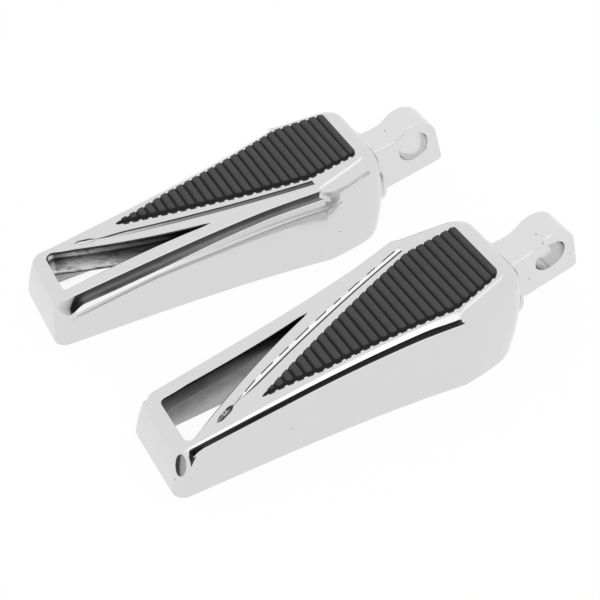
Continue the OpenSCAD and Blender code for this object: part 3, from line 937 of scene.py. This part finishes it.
def cut_window(body, side):
    """The window: rounded upper edge, upright arm side and a drafted rail side. The rib that
    reaches past its edge is trimmed with it."""
    pts = window_top()
    rings = []
    for out, down in ((1.0, -1.2), (0.62, -0.3), (0.34, 0.0), (0.14, 0.1), (0.03, 0.25), (0.0, 0.45)):
        rings.append([top_point(x, y, down) for x, y in offset_outline(pts, out)])
    # The rail's wall at the floor, and heights as shares of the top face's
    foot_wall = 5.7
    for z in (0.84, 0.5, 0.0, -0.12):
        ring = []
        for x, y in pts:
            # Share of the rail side's draft that this place takes
            rail = clamp01((y - 3) / 3.8)
            if x > 3:
                middle = mix(-7.2, 8.2, clamp01((x - 3) / 43))
                rail = clamp01((y - middle) / 3.5)
            far = rim_half(rim_x(x)) - foot_wall
            depth = 1 - z
            yy = mix(y, max(y, far), rail * smooth(depth))
            ring.append(Vector((x, yy, (top_z(x) - 0.45) * z if z > 0 else (z * 16))))
        rings.append(ring)
    cutter = ring_skin("window_cutter", rings)
    # The walls take painted shade, the arm's wall painted reflection, the outer edge a painted highlight
    for material in (inside_chrome(side), rib_chrome(side), painted_highlight_chrome()):
        cutter.data.materials.append(material)
    # Vertices run ring by ring: corner and arm wall first, then the rail's wall and the
    # outer end, whose first 2 mm below the rounded edge take a painted highlight
    last_arm, streaked, highlighted = 31, 1, 2
    n = len(pts)
    for face in cutter.data.polygons:
        cols = {v % n for v in face.vertices}
        rows = {v // n for v in face.vertices}
        if len(face.vertices) > 4 or 0 in rows and len(cols) > 2:
            continue
        if max(cols) <= last_arm and 0 not in cols:
            face.material_index = streaked
        elif cols <= {0, 1, n - 1, n - 2} and rows <= {5, 6}:
            face.material_index = highlighted
    combine(body, cutter, "DIFFERENCE")


def cut_hollow(body, side):
    """The casting's hollow underside, from the window to the wall that carries the lug."""
    rings = []
    xs = [3.0 + 6 * (1 - math.cos(math.radians(i * 11.25))) for i in range(8)]
    xs += [mix(9.2, 86, i / 24) for i in range(25)]
    xs += [90.3 - 3.8 * (1 - math.cos(math.radians(i * 15))) for i in range(5, -1, -1)]

    def half(x, t):
        wide = mix(top_half(x) - 4.4, rim_half(rim_x(x)) - 3.0, t)
        return wide - corner_cut(max(0.0, x - 1.2), 6) - 0.6 * corner_cut(max(0.0, 91.4 - x), 4)

    for x in xs:
        roof = top_z(x) - 5.2
        fx = rim_x(x) * 0.98 + 0.2
        # Beside the window the rail's wall thickens toward its foot
        foot = 2.7 * (1 - smooth((x - 42) / 10))
        # Share of the draft, what comes off the half width, height, share of the rim's station
        rows = [(0.25, 1.2, roof, 0), (0.25, 0.3, roof - 0.35, 0), (0.28, 0, roof - 1.2, 0.08)]
        rows += [(0.5, 0, roof * 0.7, 0.35), (0.74, 0, roof * 0.42, 0.6)]
        rows += [(0.9, 0, roof * 0.18, 0.8), (1.0, 0, -1.0, 1)]
        shape = [(half(x, t) - less, z, mix(x, fx, share)) for t, less, z, share in rows]
        ring = [Vector((px, y - foot * smooth(1 - max(z, 0) / roof), z)) for y, z, px in shape]
        ring += [Vector((px, -y, z)) for y, z, px in reversed(shape)]
        rings.append(ring)
    cutter = ring_skin("hollow_cutter", rings)
    cutter.data.materials.append(inside_chrome(side))
    combine(body, cutter, "DIFFERENCE")


def add_arm_rib(body, side):
    """The rib that carries the arm beside the window, down into the hollow."""
    n = 20
    past_edge, width = 0.8, 3.8
    xs = [mix(WINDOW_X0 - 1, WINDOW_X1, i / n) for i in range(n + 1)]
    near = [(x, arm_edge(max(WINDOW_X0, x)) + past_edge) for x in xs]
    shape = near + [(x, y - width) for x, y in reversed(near)]
    rings = []
    for down, inset in ((2.2, 0.0), (8.3, 0.0), (8.7, 0.35)):
        pts = offset_outline(shape[::-1], -inset) if inset else shape[::-1]
        rings.append([Vector((x, y, top_z(x) - down)) for x, y in pts])
    rib = ring_skin("arm_rib", rings)
    rib.data.materials.append(inside_chrome(side))
    combine(body, rib, "UNION")


# The arm line: its facet's ends and its square end, along the peg
FACET_X0, FACET_X1 = 11.6, 17.6
LINE_END = 77.4


def line_side(x):
    """The place across the peg of the arm line's middle."""
    t = (x - 12) / (LINE_END - 12)
    return mix(-7.4, 12.1, t) + 1.2 * 4 * t * (1 - t)


def cut_pocket(body, side):
    """The lens-shaped pocket at the outer corner of the pad side."""
    along, out = Vector((0.75, -0.66, 0)), Vector((-0.66, -0.75, 0))
    station, height_at, middle, half_height, half_width, sunk = 0.95, 0.75, 3.55, 3.05, 1.55, 0.75
    turn = [math.radians(22.5 * k) for k in range(16)]
    rings = []
    for i in range(17):
        u = math.pi * (i + 0.4) / 16.8
        at = skin(station, -1, (middle - half_height * math.cos(u)) / top_z(height_at))
        wide, deep = along * half_width * math.sin(u), out * sunk * math.sin(u)
        rings.append([at + wide * math.cos(a) + deep * math.sin(a) for a in turn])
    cutter = ring_skin("pocket_cutter", rings)
    cutter.data.materials.append(pocket_metal(side))
    combine(body, cutter, "DIFFERENCE")


def cut_arm_line(body, side):
    """The stepped line along the arm: a flat groove whose sloping walls are dark with painted
    shade, from a lens-shaped facet at its outer end to a square end by the shoulder."""
    n = 60
    rings = []
    for i in range(n + 1):
        x = mix(FACET_X0, LINE_END, (i / n) ** 1.35)
        y = line_side(x)
        lens = clamp01((x - FACET_X0) / 2.6) * clamp01((FACET_X1 - x) / 2.2)
        wide = 0.12 + max(0.75 * smooth(lens * 1.6), 0.78 * smooth((x - 16.6) / 10))
        deep = 0.05 + 0.24 * max(lens, smooth((x - 16.8) / 4))
        pad_slope = min(wide * 0.8, 0.7 if side == "right" else 0.34)
        rail_slope = min(wide * 0.5, 0.4 if side == "left" else 0.12)
        ring = [
            (y + wide + 0.1, -0.4), (y + wide, 0.0), (y + wide - rail_slope, deep),
            (y - wide + pad_slope, deep), (y - wide, 0.0), (y - wide - 0.1, -0.4)
        ]
        rings.append([top_point(x, yy, dn) for yy, dn in ring])
    cutter = ring_skin("line_cutter", rings)
    # Edges take a painted highlight, slopes painted shade, the groove's floor painted light
    for material in (painted_highlight_chrome(), pad_channel_metal(side), line_floor(side)):
        cutter.data.materials.append(material)
    m = len(rings[0])
    dark, flat = 1, 2
    # On the right casting the rail side's slope carries painted shade in dashes, one each 6.3 mm
    dash_mm, gap_share = 6.3, 0.4
    for face in cutter.data.polygons:
        cols = {v % m for v in face.vertices}
        x = sum(cutter.data.vertices[v].co.x for v in face.vertices) / len(face.vertices)
        dashed = side == "left" or x / dash_mm % 1 > gap_share
        if cols <= {3, 4} or cols <= {1, 2} and dashed:
            face.material_index = dark
        elif cols <= {2, 3} and (side == "left" or x < 17.4):
            face.material_index = flat
    combine(body, cutter, "DIFFERENCE")


# The lug bolt's axis: its origin past the top face's end, and its height
AXIS_PAST, AXIS_Z = 8.7, 14.4


def on_axis(station, across, up_down):
    """A point beside the lug bolt's axis: along it, across the peg and square to both."""
    c = bpy.context.scene.peg_casting
    tilt = math.atan(c.top_rise)
    ct, st = math.cos(tilt), math.sin(tilt)
    x, z = c.top_len + AXIS_PAST, AXIS_Z
    return Vector((x + station * ct - up_down * st, across, z + station * st + up_down * ct))


def turned(name, rows, segments=64):
    """A round piece on the lug bolt's axis through (station, radius) rows."""
    turn = [2 * math.pi * k / segments for k in range(segments)]
    rings = [[on_axis(s, r * math.cos(a), r * math.sin(a)) for a in turn] for s, r in rows]
    return ring_skin(name, rings)


def build_casting(side):
    c = bpy.context.scene.peg_casting
    pts = outline()
    n = len(pts)
    base = [skin(x, v, 0.02) for x, v in pts]
    out = []
    for i in range(n):
        d = base[(i + 1) % n] - base[i - 1]
        out.append(Vector((d.y, -d.x, 0)).normalized())
    columns = [profile(x, v, o) for (x, v), o in zip(pts, out)]
    rings = [[col[k] for col in columns] for k in range(len(columns[0]))]
    body = ring_skin(side + "_casting", rings)
    # Channels and the crease under the lip take painted shade; the rail side's lip and the pad side's
    # bevel a painted highlight
    rail_painted_shade, pad_painted_shade, lip, crease = 1, 2, 3, 4
    for material in (
        bright_chrome(side), rail_channel_metal(side), pad_channel_metal(side), painted_highlight_chrome(),
        crease_metal()
    ):
        body.data.materials.append(material)
    for face in body.data.polygons:
        if len(face.vertices) > 4:
            continue
        # Vertices run ring by ring, so a face's row and column follow from its numbers
        rows = sorted({v // n for v in face.vertices})
        cols = {v % n for v in face.vertices}
        if len(rows) < 2:
            continue
        rail = all(pts[k][1] > 0.99 for k in cols)
        pad = all(pts[k][1] < -0.99 for k in cols)
        x = min(pts[k][0] for k in cols)
        sunk = [channel_amount(*pts[k]) for k in cols]
        if rows[0] in CHANNEL_ROWS and rail and min(sunk) > 0.01:
            face.material_index = rail_painted_shade
        elif rows[0] in CHANNEL_ROWS and not rail and min(sunk) > 0.05:
            face.material_index = pad_painted_shade
        elif rail and rows[0] in LIP_ROWS and 5 < x < 78:
            face.material_index = lip
        elif rail and rows[0] == CREASE_ROW and 5 < x < 82:
            face.material_index = crease
        elif pad and rows[0] in (1, 2) and 3.5 < x < c.shoulder_x - 0.05:
            face.material_index = lip
    cut_hollow(body, side)
    add_arm_rib(body, side)
    cut_window(body, side)
    cut_arm_line(body, side)
    cut_pocket(body, side)
    boss = turned("boss", [(-9.0, 11.7), (-4.0, 11.7), (-3.7, 11.62), (-3.48, 11.45), (-3.4, 11.2)])
    boss.data.materials.append(bright_chrome(side))
    seat = turned("seat", [(-14.3, 8.1), (-14.15, 8.4), (-13.9, 8.5), (-10.5, 8.5)], 48)
    seat.data.materials.append(inside_chrome(side))
    pick(body, boss, seat)
    bpy.ops.object.join()
    return finish_piece(body, side, replaces=(side + "_body",))


class PEG_OT_castings(bpy.types.Operator):
    """Models the two hollow castings with their windows, channels and arm lines"""

    bl_idname = "peg.castings"
    bl_label = "Castings"

    def execute(self, context):
        for side in SIDES:
            build_casting(side)
        return {"FINISHED"}


# The pads


# The pad's tip and its end by the lug, along the peg
PAD_X0, PAD_X1 = 24.4, 93.0


def pad_arm(x):
    """The pad's sloping edge beside the arm line."""
    c = bpy.context.scene.peg_casting
    t = clamp01((x - PAD_X0) / (c.shoulder_x - PAD_X0))
    return min(mix(-7.2, 9.9, t) + 0.7 * 4 * t * (1 - t), top_half(x) - 3.6)


def pad_out(x):
    """The pad's edge beside the channel."""
    t = clamp01((x - PAD_X0) / 16)
    return -mix(7.6, top_half(x) - 3.0, t)


def build_pad(side):
    """A grid laid over the pad's outline, its rows raised into rounded cross ribs that run
    out at the sloping edges."""
    p = bpy.context.scene.peg_pad
    x0, x1 = PAD_X0, PAD_X1
    samples, across = 14, 30
    count = p.rib_count
    first, last = x0 + 2.6, x1 - 1.2
    pitch = (last - first) / (count - 1)
    xs = [x0, x0 + 0.5, x0 + 1.0]
    for i in range(count):
        for k in range(samples):
            xs.append(first + pitch * (i - 0.5 + k / samples))
    xs = sorted(v for v in set(round(v, 4) for v in xs) if v < last + 0.3)
    xs += [last + 0.45, last + 0.7, last + 0.9, last + 1.05, last + 1.15, x1]
    deselect()
    bpy.ops.mesh.primitive_grid_add(x_subdivisions=len(xs) - 1, y_subdivisions=across, size=1)
    pad = bpy.context.object
    pad.name = pad.data.name = side + "_ribbed_pad"
    pad.matrix_world = Matrix()
    nx = len(xs)
    low = {}
    for i, vert in enumerate(pad.data.vertices):
        gx, gy = i % nx, i // nx
        x = xs[gx]
        s = gy / across
        hi, lo = pad_arm(x), pad_out(x)
        cut = corner_cut(x1 - x, 1.8)
        hi, lo = hi - cut, lo + cut
        # Rows crowd at the edges, where the sides slope down
        wide = hi - lo
        e = min(0.5, 1.5 / max(0.2, wide))
        near = min(s, 1 - s) / 0.2
        share = mix(0, e, smooth(near) * 0.5 + near * 0.5)
        if 0.2 <= s < 0.8:
            share = mix(e, 1 - e, (s - 0.2) / 0.6)
        elif s >= 0.8:
            share = 1 - share
        y = mix(lo, hi, share)
        edge = min(y - lo, hi - y, x1 - x, (x - x0) * 0.7)
        phase = (x - first) / pitch - math.floor((x - first) / pitch + 0.5)
        # A rib: flat crown with rounded shoulders, and a narrow groove to the next
        crown = clamp01((p.rib_share / 2 + 0.1 - abs(phase)) / 0.1)
        rib = smooth(crown)
        if x > last:
            rib = 1.0
        if x < first - pitch / 2:
            rib = 0.0
        # Body and rib both run out at the edges
        body_h = (p.height - p.groove) * smooth(edge / 0.4)
        rise = p.groove * rib * smooth((edge - 0.2) / 0.45)
        if edge < 0.5 and first - pitch / 2 < x < last:
            # The ribs' ends stand out past the grooves', which gives the scalloped edge
            y += (0.16 * rib - 0.1) * (1 if s > 0.5 else -1)
        vert.co = top_point(x, y, -(body_h + rise))
        low[vert.index] = rib < 0.55 or edge < 0.5
    pad.data.materials.append(moulded_rubber())
    pad.data.materials.append(groove_rubber())
    # Grooves and edges take the darker rubber: painted shade
    for face in pad.data.polygons:
        face.material_index = 1 if sum(low[v] for v in face.vertices) > 2 else 0
    # Close the underside: the rim goes down to the casting and is filled
    pick(pad)
    bpy.ops.object.mode_set(mode="EDIT")
    bpy.ops.mesh.select_mode(type="EDGE")
    bpy.ops.mesh.select_all(action="SELECT")
    bpy.ops.mesh.region_to_loop()
    bpy.ops.mesh.extrude_edges_move(TRANSFORM_OT_translate={"value": (0, 0, -0.25)})
    bpy.ops.mesh.edge_face_add()
    bpy.ops.object.mode_set(mode="OBJECT")
    return finish_piece(pad, side, angle=60, replaces=(side + "_pad",), weighted=False)


class PEG_OT_pads(bpy.types.Operator):
    """Models the two ribbed rubber pads"""

    bl_idname = "peg.pads"
    bl_label = "Rubber pads"

    def execute(self, context):
        for side in SIDES:
            build_pad(side)
        return {"FINISHED"}


# The lugs


# The cross bore's place and radius, and half the lug's thickness
BORE_X, BORE_Z, BORE_R = 115.85, 19.15, 4.8
LUG_HALF = 4.9


def lug_outline():
    """The lug's side view round its bore, clockwise seen from the pad side, as (x, z)."""
    bx, bz, r = BORE_X, BORE_Z, 8.3
    pts = [
        (100.2, 4.66), (109.0, 6.6), (117.0, 8.4), (124.6, 10.08), (125.6, 10.32), (126.25, 10.8),
        (126.55, 11.5), (126.4, 12.4)
    ]
    for a in range(24, 100, 5):
        pts.append((bx + r * math.cos(math.radians(a)), bz + r * math.sin(math.radians(a))))
    pts += [
        (113.6, 27.1), (112.5, 26.6), (111.4, 25.75), (110.2, 24.6), (109.0, 23.75), (107.8, 23.25),
        (106.4, 22.95), (104.5, 22.7), (99.4, 22.1)
    ]
    return pts


def build_lug(side):
    pts = lug_outline()
    t = LUG_HALF
    rounded = [(0, 0.5), (0.08, 0.24), (0.26, 0.07), (0.55, 0.0)]
    rows = [(-t + y, inset) for y, inset in rounded]
    rows += [(t - y, inset) for y, inset in reversed(rounded)]
    rings = [[Vector((x, y, z)) for x, z in offset_outline(pts, -inset)] for y, inset in rows]
    lug = ring_skin(side + "_bolted_lug", rings)
    lug.data.materials.append(lug_chrome())
    turn = [2 * math.pi * k / 72 for k in range(72)]
    flare_out = [(-1, 1.1), (-0.02, 0.3), (0.12, 0.12), (0.35, 0.0)]
    rows = [(-t + y, BORE_R + r) for y, r in flare_out]
    rows += [(t - y, BORE_R + r) for y, r in reversed(flare_out)]
    bore = [
        [Vector((BORE_X + r * math.cos(a), y, BORE_Z + r * math.sin(a))) for a in turn] for y, r in rows
    ]
    cutter = ring_skin("bore_cutter", bore)
    cutter.data.materials.append(lug_chrome())
    combine(lug, cutter, "DIFFERENCE")
    # Everything behind the boss's face is cut away
    face = turned("face_cutter", [(-20, 16), (-3.4, 16)], 24)
    face.data.materials.append(lug_chrome())
    combine(lug, face, "DIFFERENCE")
    collar = turned(
        "collar", [(-3.4, 11.1), (-3.3, 11.3), (-3.1, 11.4), (-2.6, 11.4), (-2.35, 11.3), (-2.2, 11.05)]
    )
    collar.data.materials.append(lug_chrome())
    combine(lug, collar, "UNION")
    return finish_piece(lug, side, angle=30, replaces=(side + "_lug",))


class PEG_OT_lugs(bpy.types.Operator):
    """Models the two bolted lugs with their cross bores and collars"""

    bl_idname = "peg.lugs"
    bl_label = "Lugs"

    def execute(self, context):
        for side in SIDES:
            build_lug(side)
        return {"FINISHED"}


class PEG_OT_fasteners(bpy.types.Operator):
    """Gives the plates, screws, bolts, washers and pins their plated steel"""

    bl_idname = "peg.fasteners"
    bl_label = "Plates and fasteners"

    def execute(self, context):
        steel = zinc_steel()
        for side in SIDES:
            for part in ("pad_plate", "pad_screws", "lug_bolt", "lock_washer", "flat_washer", "lug_pin"):
                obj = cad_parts[side + "_" + part]
                obj.data.materials.clear()
                obj.data.materials.append(steel)
                pick(obj)
                bpy.ops.object.shade_smooth_by_angle(angle=math.radians(30))
        return {"FINISHED"}


# The stage


def pale_floor():
    """Seamless photo paper: matt and near white, it keeps the pegs' soft shadow."""
    m, tree = new_material("white_photo_paper")[:2]
    if not tree:
        return m
    colour = tuple(bpy.context.scene.peg_stage.floor)
    paper = node(tree, "ShaderNodeBsdfDiffuse", {"Color": colour})
    # The paper stays white in the open and goes grey where the castings close it in: painted shade, its
    # glow dimmed by ambient occlusion
    shade = node(tree, "ShaderNodeAmbientOcclusion", {"Distance": 0.014}, samples=12)
    lit = node(tree, "ShaderNodeMapRange", {
        "Value": shade.outputs["AO"], "From Min": 0.02, "From Max": 0.16, "To Min": 0.12, "To Max": 1.0
    }, interpolation_type="SMOOTHSTEP")
    glow = node(tree, "ShaderNodeEmission", {"Color": (1, 1, 1, 1), "Strength": lit.outputs["Result"]})
    # The camera and what mirrors or refracts the floor see it as white paper
    path = node(tree, "ShaderNodeLightPath").outputs
    mirrored = node(tree, "ShaderNodeMath", {
        0: path["Is Glossy Ray"], 1: path["Is Transmission Ray"]
    }, operation="ADD")
    seen = node(tree, "ShaderNodeMath", {
        0: mirrored.outputs[0], 1: path["Is Camera Ray"]
    }, operation="ADD", use_clamp=True)
    share = node(tree, "ShaderNodeMath", {
        0: seen.outputs[0], 1: 0.95
    }, operation="MULTIPLY", use_clamp=True)
    both = node(tree, "ShaderNodeMixShader", {
        0: share.outputs[0], 1: paper.outputs[0], 2: glow.outputs[0]
    })
    node(tree, "ShaderNodeOutputMaterial", {"Surface": both.outputs[0]})
    return m


def build_world():
    """An even light tent, white all round, with a softbox overhead."""
    world = bpy.data.worlds.new("light_tent")
    world.use_nodes = True
    tree = world.node_tree
    tree.nodes.clear()
    toward = node(tree, "ShaderNodeTexCoord").outputs["Generated"]
    split = node(tree, "ShaderNodeSeparateXYZ", {0: toward})
    above = node(tree, "ShaderNodeMapRange", {
        "Value": split.outputs["Z"], "From Min": 0.86, "From Max": 0.95, "To Min": 1.0, "To Max": 1.28
    }, interpolation_type="SMOOTHSTEP")
    light = node(tree, "ShaderNodeBackground", {
        "Color": (1, 1, 1, 1), "Strength": above.outputs["Result"]
    })
    node(tree, "ShaderNodeOutputWorld", {"Surface": light.outputs[0]})
    bpy.context.scene.world = world


class PEG_OT_stage(bpy.types.Operator):
    """Sets the floor, the light and the camera of the photograph"""

    bl_idname = "peg.stage"
    bl_label = "Stage"

    def execute(self, context):
        st = context.scene.peg_stage
        deselect()
        bpy.ops.mesh.primitive_plane_add(size=6.0, location=(0, 0, -0.00002))
        floor = context.object
        floor.name = "paper_floor"
        floor.data.materials.append(pale_floor())
        build_world()
        camera = bpy.data.cameras.new("camera")
        camera.lens, camera.sensor_width = st.lens, 36
        camera.clip_start, camera.clip_end = 0.01, 20
        eye = bpy.data.objects.new("camera", camera)
        context.scene.collection.objects.link(eye)
        right = Vector((0.86484, -0.50205, 0))
        up = Vector((0.36195, 0.62351, 0.69298))
        ahead = Vector((0.34791, 0.59932, -0.72096))
        turn = Matrix((right, up, -ahead)).transposed().to_4x4()
        eye.matrix_world = Matrix.Translation(Vector((-0.119852, -0.202944, 0.245967))) @ turn
        context.scene.camera = eye
        context.scene.view_settings.view_transform = "Standard"
        return {"FINISHED"}


class PEG_PT_panel(bpy.types.Panel):
    """Lists the steps that dress the pair of foot pegs"""

    bl_idname = "PEG_PT_panel"
    bl_label = "Foot Pegs"
    bl_space_type = "VIEW_3D"
    bl_region_type = "UI"
    bl_category = "Foot Pegs"

    def draw(self, context):
        for step in STEPS:
            self.layout.operator(step.bl_idname)


STEPS = (PEG_OT_stage, PEG_OT_castings, PEG_OT_pads, PEG_OT_lugs, PEG_OT_fasteners)
GROUPS = {
    "peg_layout": PegLayout, "peg_casting": PegCasting, "peg_pad": PegPad, "peg_finish": PegFinish,
    "peg_stage": PegStage
}


def register():
    for name, group in GROUPS.items():
        bpy.utils.register_class(group)
        setattr(bpy.types.Scene, name, bpy.props.PointerProperty(type=group))
    for step in STEPS + (PEG_PT_panel,):
        bpy.utils.register_class(step)


def unregister():
    for step in (PEG_PT_panel,) + STEPS[::-1]:
        bpy.utils.unregister_class(step)
    for name, group in GROUPS.items():
        delattr(bpy.types.Scene, name)
        bpy.utils.unregister_class(group)


def main():
    register()
    bpy.ops.peg.stage()
    bpy.ops.peg.castings()
    bpy.ops.peg.pads()
    bpy.ops.peg.lugs()
    bpy.ops.peg.fasteners()


if __name__ == "__main__":
    main()
